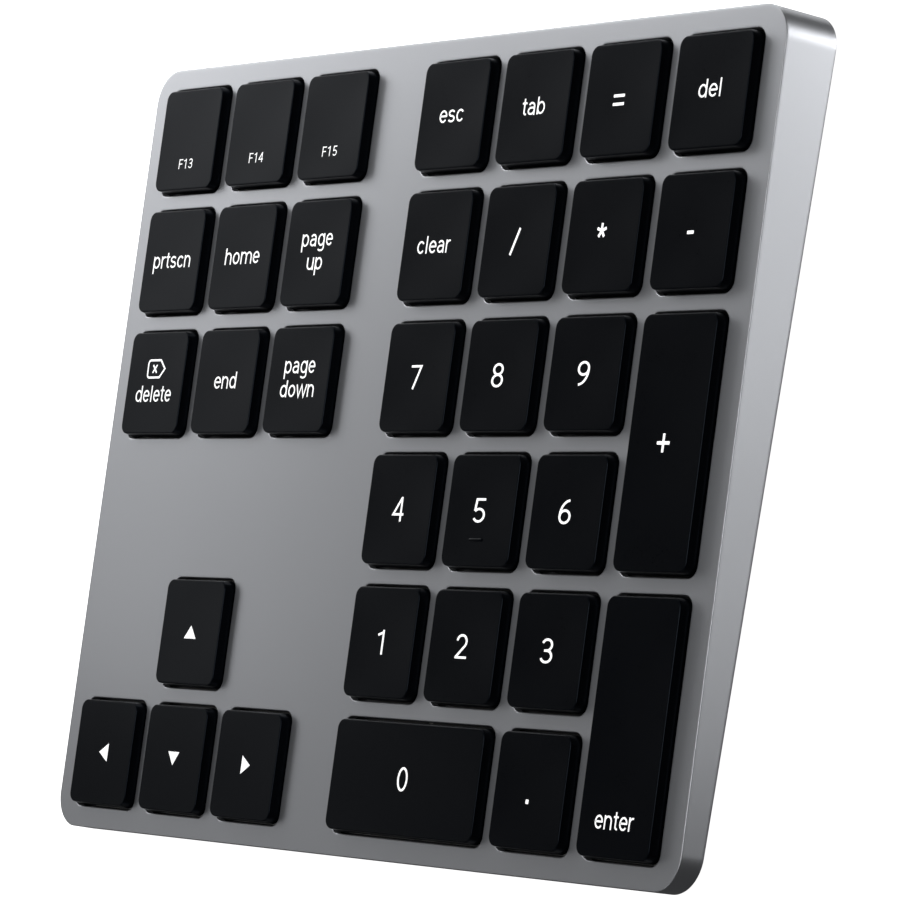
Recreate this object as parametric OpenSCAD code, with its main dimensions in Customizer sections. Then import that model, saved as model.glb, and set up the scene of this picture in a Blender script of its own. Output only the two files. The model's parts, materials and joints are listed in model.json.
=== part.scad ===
// Low-profile wireless keypad: a wedge-shaped aluminium case with 34 scissor-switch keys.
// Millimetres. The floor is z = 0, the origin is under the middle of the case, +Y is the back.

/* [Case] */
// Width of the case, side to side
case_w = 149.2; // [148.8:0.1:152]
// Depth of the deck, measured along its slope
case_d = 115; // [114.6:0.1:118]
// Height of the case wall at the back edge
back_h = 8.7; // [8.5:0.1:9.5]
// Height of the case wall at the front edge
front_h = 3.5; // [3.45:0.05:3.7]
// Radius of the case's four corners, seen from above
case_r = 5; // [5:0.5:8]
// Thickness of the side walls
wall_t = 1.4; // [1.2:0.1:1.5]
// Thickness of the deck
deck_t = 1.2; // [1:0.1:1.2]
// Width of the fine chamfer round the deck
edge_chamfer = 0.1; // [0.1:0.05:0.3]
// Gap between the floor and the underside of the case
foot_h = 0.8; // [0.8:0.1:1.5]

/* [Key grid] */
// Distance from one key to the next across the keypad
pitch_x = 19; // [18.8:0.1:19.1]
// Distance from one key row to the next
pitch_y = 18.5; // [18.3:0.1:18.6]
// Extra space between the navigation block and the number block
block_gap = 10.2; // [8:0.1:10.4]
// Width of the square cut-out for a single key
cutout_w = 16.3; // [16.2:0.05:16.5]
// Corner radius of a cut-out
cutout_r = 1.7; // [1.5:0.1:2]

/* [Keycaps] */
// Width of a single keycap at its skirt
cap_w = 15.7; // [15.5:0.05:15.75]
// Corner radius of a keycap at its skirt
cap_r = 1.6; // [1.4:0.1:1.8]
// Height of the keycap's top above the deck
cap_rise = 1.4; // [1.2:0.1:1.6]
// How far a key travels when it is pressed
travel = 1.2; // [1:0.1:1.2]
// Width of the bevel round the top of a keycap
cap_bevel = 0.3; // [0.2:0.05:0.4]

/* [Back edge] */
// Position of the charging inlet across the back edge
usb_x = 0; // [-4:0.5:4]
// Position of the power switch across the back edge
power_x = -22; // [-24:0.5:-18]
// Position of the status light across the back edge
light_x = 12; // [10:0.5:14]
// How far the power switch slides
power_travel = 2; // [1.5:0.1:2]

/* [Hidden] */
$fn = 48;
eps = 0.05;

// Slope of the deck, and the places of its middle above and behind the origin
tilt = atan((back_h - front_h) / case_d);
deck_z = foot_h + (back_h + front_h) / 2 * cos(tilt);
deck_y = -back_h * sin(tilt) / 2;

// Heights on the deck's own upright axis, where 0 is its top face
cap_under = cap_rise - 0.8;
skirt_end = -0.5;
membrane_top = -1.9;
membrane_t = 0.2;
plate_top = membrane_top - membrane_t;
plate_t = 0.4;
plate_under = plate_top - plate_t;

// Heights above the floor
cover_bottom = foot_h + 0.05;
cover_top = cover_bottom + 0.7;
board_bottom = 2.1;
board_top = 2.9;

// Keys: name, first column, first row, columns across, rows down
keys = [
    ["key_f13", 0, 0, 1, 1],
    ["key_f14", 1, 0, 1, 1],
    ["key_f15", 2, 0, 1, 1],
    ["key_escape", 3, 0, 1, 1],
    ["key_tab", 4, 0, 1, 1],
    ["key_equals", 5, 0, 1, 1],
    ["key_del", 6, 0, 1, 1],
    ["key_print_screen", 0, 1, 1, 1],
    ["key_home", 1, 1, 1, 1],
    ["key_page_up", 2, 1, 1, 1],
    ["key_clear", 3, 1, 1, 1],
    ["key_divide", 4, 1, 1, 1],
    ["key_multiply", 5, 1, 1, 1],
    ["key_minus", 6, 1, 1, 1],
    ["key_delete", 0, 2, 1, 1],
    ["key_end", 1, 2, 1, 1],
    ["key_page_down", 2, 2, 1, 1],
    ["key_7", 3, 2, 1, 1],
    ["key_8", 4, 2, 1, 1],
    ["key_9", 5, 2, 1, 1],
    ["key_plus", 6, 2, 1, 2],
    ["key_4", 3, 3, 1, 1],
    ["key_5", 4, 3, 1, 1],
    ["key_6", 5, 3, 1, 1],
    ["key_up", 1, 4, 1, 1],
    ["key_1", 3, 4, 1, 1],
    ["key_2", 4, 4, 1, 1],
    ["key_3", 5, 4, 1, 1],
    ["key_enter", 6, 4, 1, 2],
    ["key_left", 0, 5, 1, 1],
    ["key_down", 1, 5, 1, 1],
    ["key_right", 2, 5, 1, 1],
    ["key_0", 3, 5, 2, 1],
    ["key_point", 5, 5, 1, 1],
];
columns = 7;
rows = 6;
split_column = 3;

function column_x(c) = c * pitch_x + (c >= split_column ? block_gap : 0)
    - ((columns - 1) * pitch_x + block_gap) / 2;
function row_y(r) = ((rows - 1) / 2 - r) * pitch_y;
function key_x(key) = (column_x(key[1]) + column_x(key[1] + key[3] - 1)) / 2;
function key_y(key) = (row_y(key[2]) + row_y(key[2] + key[4] - 1)) / 2;
function extra_w(key) = (key[3] - 1) * pitch_x;
function extra_d(key) = (key[4] - 1) * pitch_y;
function is_long(key) = key[3] + key[4] > 2;
// The switch under a tall key is turned a quarter turn, so that its wire runs along the key
function switch_turn(key) = key[4] > 1 ? 90 : 0;

// Screws that hold the support plate, where the webs between four keys cross
plate_screws_at = [
    for (c = [0, 1, 2, 3, 5], r = [0, 2, 4])
        [(column_x(c) + column_x(c + 1)) / 2, row_y(r) - pitch_y / 2]
];
plate_screw_r = 0.6;
plate_boss_r = 1.05;

// Screws that hold the bottom cover, along the two sides
cover_screws_at = [for (sx = [-1, 1], sy = [-1, 0, 1]) [sx * (case_w / 2 - 3.2), sy * 50]];
cover_screw_r = 0.6;
cover_boss_r = 1.15;

// Screws that hold the circuit board
board_screws_at = [[-31.5, 41], [-31.5, 52.5], [19.5, 41], [19.5, 52.5]];
board_screw_r = 0.6;
screw_head_r = 1.3;
screw_head_t = 0.4;

// Scissor switch: two crossing frames, nearly flat when pressed
scissor_w = 12.4;
scissor_d = 10;
scissor_t = 0.7;
scissor_bar = 0.9;
scissor_low = membrane_top + 0.42;
scissor_high = cap_under - 0.44;
scissor_tilt = asin((scissor_high - scissor_low) / (scissor_d - scissor_bar));
scissor_pin_r = 0.25;
hook_w = 1.2;
hook_t = 0.25;
hook_y = scissor_d / 2 + 0.2;

// Stabiliser wire: a long bar in the keycap's clips, two arms, and two ends in hooks on the plate
wire_r = 0.3;
wire_half = 13.5;
wire_arm = 6;
wire_y = 5.9;
wire_z = cap_under - 0.6;
wire_end_z = membrane_top + 0.4;
wire_end = 2;
wire_tilt = asin((wire_z - wire_end_z) / wire_arm);
clip_x = 10;

// Charging inlet
usb_w = 8.94;
usb_h = 3.16;
usb_t = 0.3;
usb_length = 7.3;
usb_z = board_top + usb_h / 2;
usb_mouth_y = case_d / 2 - 0.3;

// Power switch
power_z = 4.2;
knob_w = 2.6;
knob_h = 1.1;

// Battery, on the bottom cover in front of the board
battery = [60, 30, 2.2];
battery_at = [-15, 20];

// Moves its children onto the sloping deck, with z = 0 on the deck's top face
module on_deck() {
    translate([0, deck_y, deck_z])
        rotate([tilt, 0, 0])
            children();
}

module at_key(key) {
    translate([key_x(key), key_y(key), 0])
        children();
}

// Rounded rectangle, centred
module rounded_rect(w, d, r) {
    square([w - 2 * r, d], center = true);
    square([w, d - 2 * r], center = true);
    for (sx = [-1, 1], sy = [-1, 1])
        translate([sx * (w / 2 - r), sy * (d / 2 - r)])
            circle(r);
}

module rounded_plate(w, d, r, low, high) {
    translate([0, 0, low])
        linear_extrude(high - low)
            rounded_rect(w, d, r);
}

// Rounded block whose top edge is bevelled; a negative bevel flares outwards
module bevelled_block(w, d, r, low, high, bevel) {
    rise = abs(bevel);
    rotate([90, 0, 0])
        linear_extrude(d - 2 * r, center = true)
            side_profile(w / 2, low, high, bevel, rise);
    rotate([90, 0, 90])
        linear_extrude(w - 2 * r, center = true)
            side_profile(d / 2, low, high, bevel, rise);
    for (sx = [-1, 1], sy = [-1, 1])
        translate([sx * (w / 2 - r), sy * (d / 2 - r), 0]) {
            translate([0, 0, low])
                cylinder(r = r, h = high - rise - low);
            translate([0, 0, high - rise])
                cylinder(r1 = r, r2 = r - bevel, h = rise);
        }
}

// The block from the side: straight up, then in or out by the bevel
module side_profile(half, low, high, bevel, rise) {
    polygon([
        [-half, low], [half, low], [half, high - rise],
        [half - bevel, high], [-half + bevel, high], [-half, high - rise],
    ]);
}

// Slot with round ends along X, cut along Y
module slot_y(w, h, length) {
    rotate([90, 0, 0])
        linear_extrude(length, center = true)
            rounded_rect(w, h, h / 2 - eps / 5);
}

module below(z) {
    translate([-case_w, -case_d, z - 30])
        cube([2 * case_w, 2 * case_d, 30]);
}

// ---- case ----

module case_solid() {
    difference() {
        on_deck()
            bevelled_block(case_w, case_d, case_r, -20, 0, edge_chamfer);
        below(foot_h);
    }
}

module case_cavity() {
    on_deck()
        rounded_plate(case_w - 2 * wall_t, case_d - 2 * wall_t, case_r - wall_t, -25, -deck_t);
}

module key_cutouts() {
    flare = 0.15;
    on_deck()
        for (key = keys)
            at_key(key)
                bevelled_block(cutout_w + extra_w(key), cutout_w + extra_d(key), cutout_r,
                    -deck_t - 1, flare, -2 * flare);
}

module plate_bosses() {
    on_deck()
        for (p = plate_screws_at)
            translate([p[0], p[1], plate_top])
                cylinder(r = plate_boss_r, h = -plate_top - deck_t + eps);
}

module cover_bosses() {
    intersection() {
        case_solid();
        for (p = cover_screws_at)
            translate([p[0], p[1], cover_top])
                cylinder(r = cover_boss_r, h = 20);
    }
}

module case_screw_bores() {
    on_deck()
        for (p = plate_screws_at)
            translate([p[0], p[1], plate_top - 1])
                cylinder(r = plate_screw_r + 0.02, h = 2.4);
    for (p = cover_screws_at)
        translate([p[0], p[1], 0])
            cylinder(r = cover_screw_r + 0.02, h = cover_top + 1.6);
}

module back_openings() {
    translate([usb_x, case_d / 2, usb_z])
        slot_y(usb_w + 0.5, usb_h + 0.4, 6);
    translate([power_x, case_d / 2 - 1, power_z])
        slot_y(knob_w + power_travel + 0.8, knob_h + 0.8, 6);
    translate([power_x, case_d / 2 + 1.5, power_z])
        slot_y(knob_w + power_travel + 3.4, 3, 4);
    translate([light_x, case_d / 2, board_top + 0.9])
        rotate([90, 0, 0])
            cylinder(r = 0.75, h = 8, center = true);
}

module top_case() {
    color([0.55, 0.56, 0.58])
        difference() {
            union() {
                difference() {
                    case_solid();
                    case_cavity();
                }
                plate_bosses();
                cover_bosses();
            }
            key_cutouts();
            case_screw_bores();
            back_openings();
        }
}

module bottom_cover() {
    inset = wall_t + 0.15;
    color([0.16, 0.16, 0.17])
        difference() {
            union() {
                intersection() {
                    on_deck()
                        rounded_plate(case_w - 2 * inset, case_d - 2 * inset, case_r - inset, -25, 0);
                    translate([-case_w, -case_d, cover_bottom])
                        cube([2 * case_w, 2 * case_d, cover_top - cover_bottom]);
                }
                for (p = board_screws_at)
                    translate([p[0], p[1], cover_top - eps])
                        cylinder(r = 1.6, h = board_bottom - cover_top + eps);
            }
            for (p = cover_screws_at)
                translate([p[0], p[1], 0]) {
                    cylinder(r = cover_screw_r + 0.1, h = 5);
                    cylinder(r = screw_head_r + 0.1, h = cover_bottom + screw_head_t);
                }
            for (p = board_screws_at)
                translate([p[0], p[1], cover_bottom + 0.25])
                    cylinder(r = board_screw_r + 0.02, h = 5);
        }
}

module rubber_feet() {
    foot_r = 5;
    foot_round = 0.35;
    color([0.08, 0.08, 0.08])
        for (sx = [-1, 1], sy = [-1, 1])
            translate([sx * (case_w / 2 - 14), sy * (case_d / 2 - 13), 0])
                rotate_extrude()
                    union() {
                        square([foot_r - foot_round, cover_bottom]);
                        translate([0, foot_round])
                            square([foot_r, cover_bottom - foot_round]);
                        translate([foot_r - foot_round, foot_round])
                            circle(foot_round);
                    }
}

// Pan-head screw, head at z = 0 and below, shank upwards, with a cross recess
module screw(shank_r, length, head_r) {
    difference() {
        union() {
            cylinder(r = shank_r, h = length);
            translate([0, 0, -screw_head_t])
                cylinder(r = head_r, h = screw_head_t);
        }
        for (turn = [0, 90])
            rotate([0, 0, turn])
                translate([-head_r * 0.55, -0.12, -screw_head_t - eps])
                    cube([head_r * 1.1, 0.24, screw_head_t * 0.6]);
    }
}

module cover_screws() {
    color("dimgray")
        for (p = cover_screws_at)
            translate([p[0], p[1], cover_bottom + screw_head_t])
                screw(cover_screw_r, cover_top - cover_bottom + 0.7, screw_head_r);
}

// ---- switches ----

// Upright tab with a lip that faces the middle of the key
module plate_hook(x, side) {
    lip_z = membrane_top + 0.95;
    translate([x - hook_w / 2, side > 0 ? hook_y : -hook_y - hook_t, plate_under + eps])
        cube([hook_w, hook_t, lip_z + 0.2 - plate_under - eps]);
    translate([x - hook_w / 2, side > 0 ? hook_y - 0.5 : -hook_y - hook_t, lip_z])
        cube([hook_w, hook_t + 0.5, 0.2]);
}

// Bridge over one end of a stabiliser wire
module wire_hook(x) {
    reach = 0.8;
    roof_z = wire_end_z + wire_r + 0.15;
    for (side = [-1, 1])
        translate([x - hook_w / 2, side > 0 ? reach : -reach - hook_t, plate_under + eps])
            cube([hook_w, hook_t, roof_z + 0.2 - plate_under - eps]);
    translate([x - hook_w / 2, -reach - hook_t, roof_z])
        cube([hook_w, 2 * (reach + hook_t), 0.2]);
}

module support_plate() {
    plate_w = case_w - 9;
    color([0.7, 0.7, 0.68])
        on_deck() {
            difference() {
                translate([0, 0.4, 0])
                    rounded_plate(plate_w, case_d - 6, 3, plate_under, plate_top);
                for (p = plate_screws_at)
                    translate([p[0], p[1], plate_under - 1])
                        cylinder(r = plate_screw_r + 0.1, h = 2);
                translate([-28.5, row_y(0) - pitch_y / 2 - 0.6, plate_under - 1])
                    cube([11, 1.2, 2]);
            }
            for (key = keys)
                at_key(key)
                    rotate([0, 0, switch_turn(key)]) {
                        for (x = [-3.2, 3.2], side = [-1, 1])
                            plate_hook(x, side);
                        if (is_long(key))
                            for (side = [-1, 1])
                                wire_hook(side * (wire_half - wire_end / 2 - 0.3));
                    }
        }
}

module plate_screws() {
    color("silver")
        on_deck()
            for (p = plate_screws_at)
                translate([p[0], p[1], plate_under])
                    screw(plate_screw_r, 1.7, screw_head_r);
}

module switch_membrane() {
    margin = 0.25;
    color([0.12, 0.12, 0.13])
        on_deck()
            translate([0, 0, plate_top])
                linear_extrude(membrane_t)
                    difference() {
                        translate([0, 0.4])
                            rounded_rect(case_w - 9.4, case_d - 6.6, 3);
                        for (p = plate_screws_at)
                            translate(p)
                                circle(plate_boss_r + margin);
                        for (key = keys)
                            translate([key_x(key), key_y(key)])
                                rotate(switch_turn(key))
                                    membrane_slots(is_long(key), margin);
                    }
}

// Openings that let the hooks of one key through
module membrane_slots(long, margin) {
    slot = [hook_w + 2 * margin, hook_t + 2 * margin];
    for (x = [-3.2, 3.2], side = [-1, 1])
        translate([x, side * (hook_y + hook_t / 2)])
            square(slot, center = true);
    if (long)
        for (sx = [-1, 1], side = [-1, 1])
            translate([sx * (wire_half - wire_end / 2 - 0.3), side * (0.8 + hook_t / 2)])
                square(slot, center = true);
}

// Ribbon that leaves the membrane, drops through the plate and runs back to its connector
module membrane_tail() {
    tail_w = 10;
    tail_t = 0.15;
    drop_y = deck_y + (row_y(0) - pitch_y / 2) * cos(tilt);
    top_z = deck_z + (row_y(0) - pitch_y / 2) * sin(tilt) + plate_top;
    end_z = board_top + 0.6;
    color([0.6, 0.45, 0.2])
        translate([-23 - tail_w / 2, 0, 0])
            rotate([90, 0, 90])
                linear_extrude(tail_w)
                    polygon([
                        [drop_y - tail_t, top_z - 0.02], [drop_y, top_z - 0.02], [drop_y, end_z + tail_t],
                        [drop_y + 5.2, end_z + tail_t], [drop_y + 5.2, end_z], [drop_y - tail_t, end_z],
                    ]);
}

// Hollow rubber dome, base on the membrane
module dome() {
    crown = cap_under - membrane_top - 0.05;
    skin = 0.3;
    rotate_extrude()
        polygon([
            [2.5, 0], [3.4, 0], [3.4, skin], [2.7, skin + 0.1], [1.6, crown],
            [0, crown], [0, crown - 2 * skin], [1.3, crown - 2 * skin], [2.5, skin * 0.6],
        ]);
}

module rubber_domes() {
    color([0.85, 0.85, 0.82])
        on_deck()
            for (key = keys)
                at_key(key)
                    translate([0, 0, membrane_top])
                        dome();
}

module scissor_frame(w, d) {
    difference() {
        cube([w, d, scissor_t], center = true);
        cube([w - 2 * scissor_bar, d - 2 * scissor_bar, 2 * scissor_t], center = true);
    }
}

// Places a frame in every switch, turned about the scissor's middle
module in_switches(lean) {
    on_deck()
        for (key = keys)
            at_key(key)
                rotate([0, 0, switch_turn(key)])
                    translate([0, 0, (scissor_low + scissor_high) / 2])
                        rotate([lean, 0, 0])
                            children();
}

module scissor_outer_frames() {
    color([0.9, 0.9, 0.88])
        in_switches(scissor_tilt)
            difference() {
                scissor_frame(scissor_w, scissor_d);
                rotate([0, 90, 0])
                    cylinder(r = scissor_pin_r + 0.05, h = 2 * scissor_w, center = true);
            }
}

module scissor_inner_frames() {
    inner_w = scissor_w - 2 * scissor_bar - 0.4;
    pin_length = scissor_bar;
    color([0.8, 0.8, 0.78])
        in_switches(-scissor_tilt) {
            scissor_frame(inner_w, scissor_d - 0.4);
            for (sx = [-1, 1])
                translate([sx * (inner_w / 2 + pin_length / 2 - eps), 0, 0])
                    rotate([0, 90, 0])
                        cylinder(r = scissor_pin_r, h = pin_length, center = true);
        }
}

// Stabiliser wire of one long key, as it lies at rest
module stabiliser_wire(key) {
    color("lightgray")
        on_deck()
            at_key(key)
                rotate([0, 0, switch_turn(key)])
                    translate([0, wire_y, wire_z]) {
                        rotate([0, 90, 0])
                            cylinder(r = wire_r, h = 2 * wire_half, center = true);
                        for (side = [-1, 1])
                            translate([side * wire_half, 0, 0])
                                wire_leg(side);
                    }
}

module wire_leg(side) {
    sphere(wire_r);
    rotate([wire_tilt, 0, 0]) {
        rotate([90, 0, 0])
            cylinder(r = wire_r, h = wire_arm);
        translate([0, -wire_arm, 0]) {
            sphere(wire_r);
            rotate([0, -side * 90, 0])
                cylinder(r = wire_r, h = wire_end);
        }
    }
}

// ---- keycaps ----

// Clip that snaps over a stabiliser wire, open below
module wire_clip(x) {
    clip_w = 1.2;
    translate([x, wire_y, 0])
        difference() {
            translate([-clip_w / 2, -0.75, wire_z - 0.2])
                cube([clip_w, 1.5, cap_under - wire_z + 0.2 + eps]);
            translate([0, 0, wire_z])
                rotate([0, 90, 0])
                    cylinder(r = wire_r + 0.06, h = 2 * clip_w, center = true);
            translate([-clip_w, -wire_r - 0.06, wire_z - 1])
                cube([2 * clip_w, 2 * wire_r + 0.12, 1]);
        }
}

// Stops that hold the upper bars of the scissor
module cap_stops() {
    stop_w = 1.2;
    for (sx = [-1, 1], side = [-1, 1])
        translate([sx * (side > 0 ? 5.3 : 2) - stop_w / 2, side * 5.3 - 0.2, scissor_high - 0.1])
            cube([stop_w, 0.4, cap_under - scissor_high + 0.1 + eps]);
}

module keycap(key) {
    w = cap_w + extra_w(key);
    d = cap_w + extra_d(key);
    skirt_t = 0.8;
    color([0.05, 0.05, 0.055])
        on_deck()
            at_key(key) {
                difference() {
                    bevelled_block(w, d, cap_r, skirt_end, cap_rise, cap_bevel);
                    rounded_plate(w - 2 * skirt_t, d - 2 * skirt_t, cap_r - skirt_t, -5, cap_under);
                }
                rotate([0, 0, switch_turn(key)]) {
                    cap_stops();
                    if (is_long(key))
                        for (sx = [-1, 1])
                            wire_clip(sx * clip_x);
                }
                if (key[0] == "key_5")
                    homing_bar();
            }
}

// Raised bar that marks the middle key for the fingers, under its digit
module homing_bar() {
    bar_w = 3;
    bar_r = 0.2;
    translate([-0.35, -4, cap_rise - 0.05])
        rotate([0, 90, 0])
            cylinder(r = bar_r, h = bar_w, center = true);
}

// ---- electronics ----

module main_board() {
    color([0.05, 0.25, 0.12])
        difference() {
            translate([-34, 38.6, board_bottom])
                cube([56, 16.9, board_top - board_bottom]);
            for (p = board_screws_at)
                translate([p[0], p[1], 0])
                    cylinder(r = board_screw_r + 0.1, h = 10);
        }
}

module board_screws() {
    color("silver")
        for (p = board_screws_at)
            translate([p[0], p[1], board_top])
                rotate([180, 0, 0])
                    screw(board_screw_r, board_top - cover_bottom - 0.35, screw_head_r);
}

// Ribbon connector and battery socket
module board_connectors() {
    color([0.9, 0.88, 0.8]) {
        difference() {
            translate([-29, 41.8, board_top])
                cube([12, 3.4, 1.4]);
            translate([-28.1, 41, board_top + 0.5])
                cube([10.2, 1.8, 0.35]);
        }
        difference() {
            translate([-6.2, 43, board_top])
                cube([4.4, 3, 1.7]);
            translate([-5.8, 42, board_top + 0.3])
                cube([3.6, 3.4, 1.1]);
        }
    }
}

module radio_module() {
    color("lightsteelblue")
        translate([6, 40.5, board_top])
            cube([12, 9, 1.6]);
}

module status_led() {
    color("white")
        translate([light_x - 0.8, 52, board_top])
            cube([1.6, 1, 1.6]);
}

module light_pipe() {
    color([0.9, 0.95, 1])
        translate([light_x, case_d / 2 - 0.2, board_top + 0.9])
            rotate([90, 0, 0])
                cylinder(r = 0.7, h = 4.2);
}

module usb_c_shell() {
    inner_h = usb_h - 2 * usb_t;
    color("silver")
        translate([usb_x, usb_mouth_y, usb_z])
            rotate([90, 0, 0])
                difference() {
                    linear_extrude(usb_length)
                        rounded_rect(usb_w, usb_h, usb_h / 2 - eps / 5);
                    translate([0, 0, -1])
                        linear_extrude(usb_length + 0.7)
                            rounded_rect(usb_w - 2 * usb_t, inner_h, inner_h / 2 - eps / 5);
                }
}

module usb_c_tongue() {
    tongue = [6.69, 4.45, 0.7];
    color([0.1, 0.1, 0.1])
        translate([usb_x, usb_mouth_y - usb_length + usb_t, usb_z]) {
            translate([0, 0.6, 0])
                cube([7.6, 1.2, 1.9], center = true);
            translate([-tongue[0] / 2, 0.5, -tongue[2] / 2])
                cube([tongue[0], tongue[1] + 0.7, tongue[2]]);
        }
}

module power_switch_body() {
    color([0.2, 0.2, 0.2])
        translate([power_x, 0, 0])
            difference() {
                translate([-4, 51.6, board_top])
                    cube([8, 3.8, 2.6]);
                translate([-3.2, 52.2, power_z - 1])
                    cube([6.4, 2.4, 2]);
                translate([-2.6, 54, power_z - 0.8])
                    cube([5.2, 2, 1.6]);
            }
}

module power_switch_knob() {
    color([0.08, 0.08, 0.09])
        translate([power_x - power_travel / 2, 0, power_z]) {
            translate([-1.7, 52.5, -0.7])
                cube([3.4, 1.8, 1.4]);
            translate([-knob_w / 2, 54, -knob_h / 2])
                cube([knob_w, case_d / 2 - 0.1 - 54, knob_h]);
        }
}

module battery_cell() {
    color([0.75, 0.75, 0.78])
        translate([battery_at[0], battery_at[1], cover_top + eps])
            rounded_plate(battery[0], battery[1], 1.5, 0, battery[2]);
}

// Two wires from the cell to the board, and their plug
module battery_lead() {
    wire = 0.35;
    start = [battery_at[1] + battery[1] / 2, cover_top + 1.3];
    end = [42.5, board_top + 0.85];
    climb = atan2(end[1] - start[1], end[0] - start[0]);
    color("firebrick")
        for (x = [-4.7, -3.3])
            translate([x, start[0], start[1]])
                rotate([climb - 90, 0, 0])
                    cylinder(r = wire, h = norm(end - start));
    color("white")
        translate([-5.7, end[0], board_top + 0.35])
            cube([3.4, 2.6, 1]);
}

top_case();
bottom_cover();
rubber_feet();
cover_screws();
support_plate();
plate_screws();
switch_membrane();
membrane_tail();
rubber_domes();
scissor_outer_frames();
scissor_inner_frames();
stabiliser_wire(keys[20]);  // stabiliser_wire_plus
stabiliser_wire(keys[28]);  // stabiliser_wire_enter
stabiliser_wire(keys[32]);  // stabiliser_wire_0
main_board();
board_screws();
board_connectors();
radio_module();
usb_c_shell();
usb_c_tongue();
power_switch_body();
power_switch_knob();
status_led();
light_pipe();
battery_cell();
battery_lead();
for (key = keys)
    keycap(key);
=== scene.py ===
import json
import math

import bmesh
import bpy
import numpy as np
from mathutils import Matrix, Vector
from mathutils.geometry import delaunay_2d_cdt


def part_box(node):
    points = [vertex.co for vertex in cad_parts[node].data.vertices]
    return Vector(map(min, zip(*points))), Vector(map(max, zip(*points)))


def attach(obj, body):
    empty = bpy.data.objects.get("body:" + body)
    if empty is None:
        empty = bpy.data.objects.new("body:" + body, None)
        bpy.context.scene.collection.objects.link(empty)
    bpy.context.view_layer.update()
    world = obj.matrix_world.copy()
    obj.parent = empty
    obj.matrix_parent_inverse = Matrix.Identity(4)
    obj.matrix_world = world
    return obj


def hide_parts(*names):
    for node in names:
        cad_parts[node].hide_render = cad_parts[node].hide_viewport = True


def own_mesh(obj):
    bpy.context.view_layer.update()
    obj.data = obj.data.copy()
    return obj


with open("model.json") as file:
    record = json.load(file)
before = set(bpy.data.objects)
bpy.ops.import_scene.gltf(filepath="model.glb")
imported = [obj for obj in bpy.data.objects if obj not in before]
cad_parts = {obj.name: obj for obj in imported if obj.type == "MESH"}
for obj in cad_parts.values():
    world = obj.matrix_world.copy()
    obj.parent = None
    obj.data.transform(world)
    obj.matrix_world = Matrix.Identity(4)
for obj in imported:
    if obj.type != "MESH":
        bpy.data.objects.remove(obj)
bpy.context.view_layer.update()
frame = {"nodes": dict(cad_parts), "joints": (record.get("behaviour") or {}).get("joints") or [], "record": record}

mm = 0.001
print("frame loaded:", len(frame["nodes"]), "nodes")

# The deck slopes, so shapes are worked out on the deck's own axes, in metres:
# x to the right, y up the slope to the back, z straight out of the deck.
pressAxis = next(j["axis"] for j in frame["joints"] if j["name"] == "key_5_press")
deckUp = -Vector(pressAxis).normalized()
deckBack = deckUp.cross(Vector((1, 0, 0)))
deckAxes = np.array([(1, 0, 0), tuple(deckBack), tuple(deckUp)])


def fromDeck(points):
    # deck coordinates times the deck's axes give the object's own
    return np.asarray(points, float) @ deckAxes


def toDeck(points):
    # the axes are square to each other, so their transpose turns points back
    return np.asarray(points, float) @ deckAxes.T


def nodePoints(name):
    mesh = frame["nodes"][name].data
    flat = np.empty(len(mesh.vertices) * 3)
    mesh.vertices.foreach_get("co", flat)
    return flat.reshape(-1, 3)


def deckBox(name):
    points = toDeck(nodePoints(name))
    return points.min(0), points.max(0)


caseLow, caseHigh = deckBox("top_case")
deckTop = caseHigh[2]
caseMiddle = (caseLow[:2] + caseHigh[:2]) / 2
membraneTop = deckBox("switch_membrane")[1][2]
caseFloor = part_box("top_case")[0].z
keyNames = sorted(n for n in frame["nodes"] if n.startswith("key_"))


def heightOnDeck(y, z):
    # deck height of the points at deck distance y that are z above the floor
    return (z - y * deckAxes[1][2]) / deckAxes[2][2]


# plain shapes, each a list of points and a list of faces


def roundedRing(width, depth, radius, cornerSteps=8, sideSteps=4, hold=0.0):
    # Four quarter circles about the corner centres, joined by straight sides; hold adds a
    # point that far from each end of a side, so that flat faces keep a straight shade.
    halfX, halfY = width / 2 - radius, depth / 2 - radius
    turns = np.linspace(0, math.pi / 2, cornerSteps + 1)
    corners = []
    for k, (sx, sy) in enumerate(((1, 1), (-1, 1), (-1, -1), (1, -1))):
        angle = turns + k * math.pi / 2
        centre = np.array([sx * halfX, sy * halfY])
        corners.append(centre + radius * np.stack([np.cos(angle), np.sin(angle)], 1))
    rows = []
    for k in range(4):
        start, end = corners[k][-1], corners[(k + 1) % 4][0]
        length = np.linalg.norm(end - start)
        steps = np.arange(1, sideSteps) / sideSteps
        if hold:
            steps = np.concatenate([[hold / length], steps, [1 - hold / length]])
        rows.append(corners[k])
        rows.append(start + (end - start) * steps[:, None])
    return np.concatenate(rows)


def circleRing(radius, steps=32, x=0.0, y=0.0):
    # centre plus radius times cosine and sine
    angle = np.arange(steps) * 2 * math.pi / steps
    return np.stack([x + radius * np.cos(angle), y + radius * np.sin(angle)], 1)


def atHeight(ring, z):
    return np.column_stack([ring, np.broadcast_to(z, len(ring))])


def ringStack(rows, closeStart=False, closeEnd=False):
    # A grid: every row is one ring of points, and neighbouring rows are joined by quads.
    # A closed end is a fan about the mean of its ring.
    rows = np.asarray(rows)
    count, around = rows.shape[:2]
    index = np.arange(count * around).reshape(count, around)
    here, after = index[:-1], index[1:]
    quads = np.stack([here, np.roll(here, -1, 1), np.roll(after, -1, 1), after], -1)
    points = rows.reshape(-1, 3)
    faces = [tuple(q) for q in quads.reshape(-1, 4).tolist()]
    for wanted, ring, turn in ((closeStart, index[0], 1), (closeEnd, index[-1], -1)):
        if wanted:
            centre = len(points)
            points = np.vstack([points, points[ring].mean(0)])
            pairs = zip(ring.tolist(), np.roll(ring, -1).tolist())
            faces += [(b, a, centre)[::turn] for a, b in pairs]
    return points, faces


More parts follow.
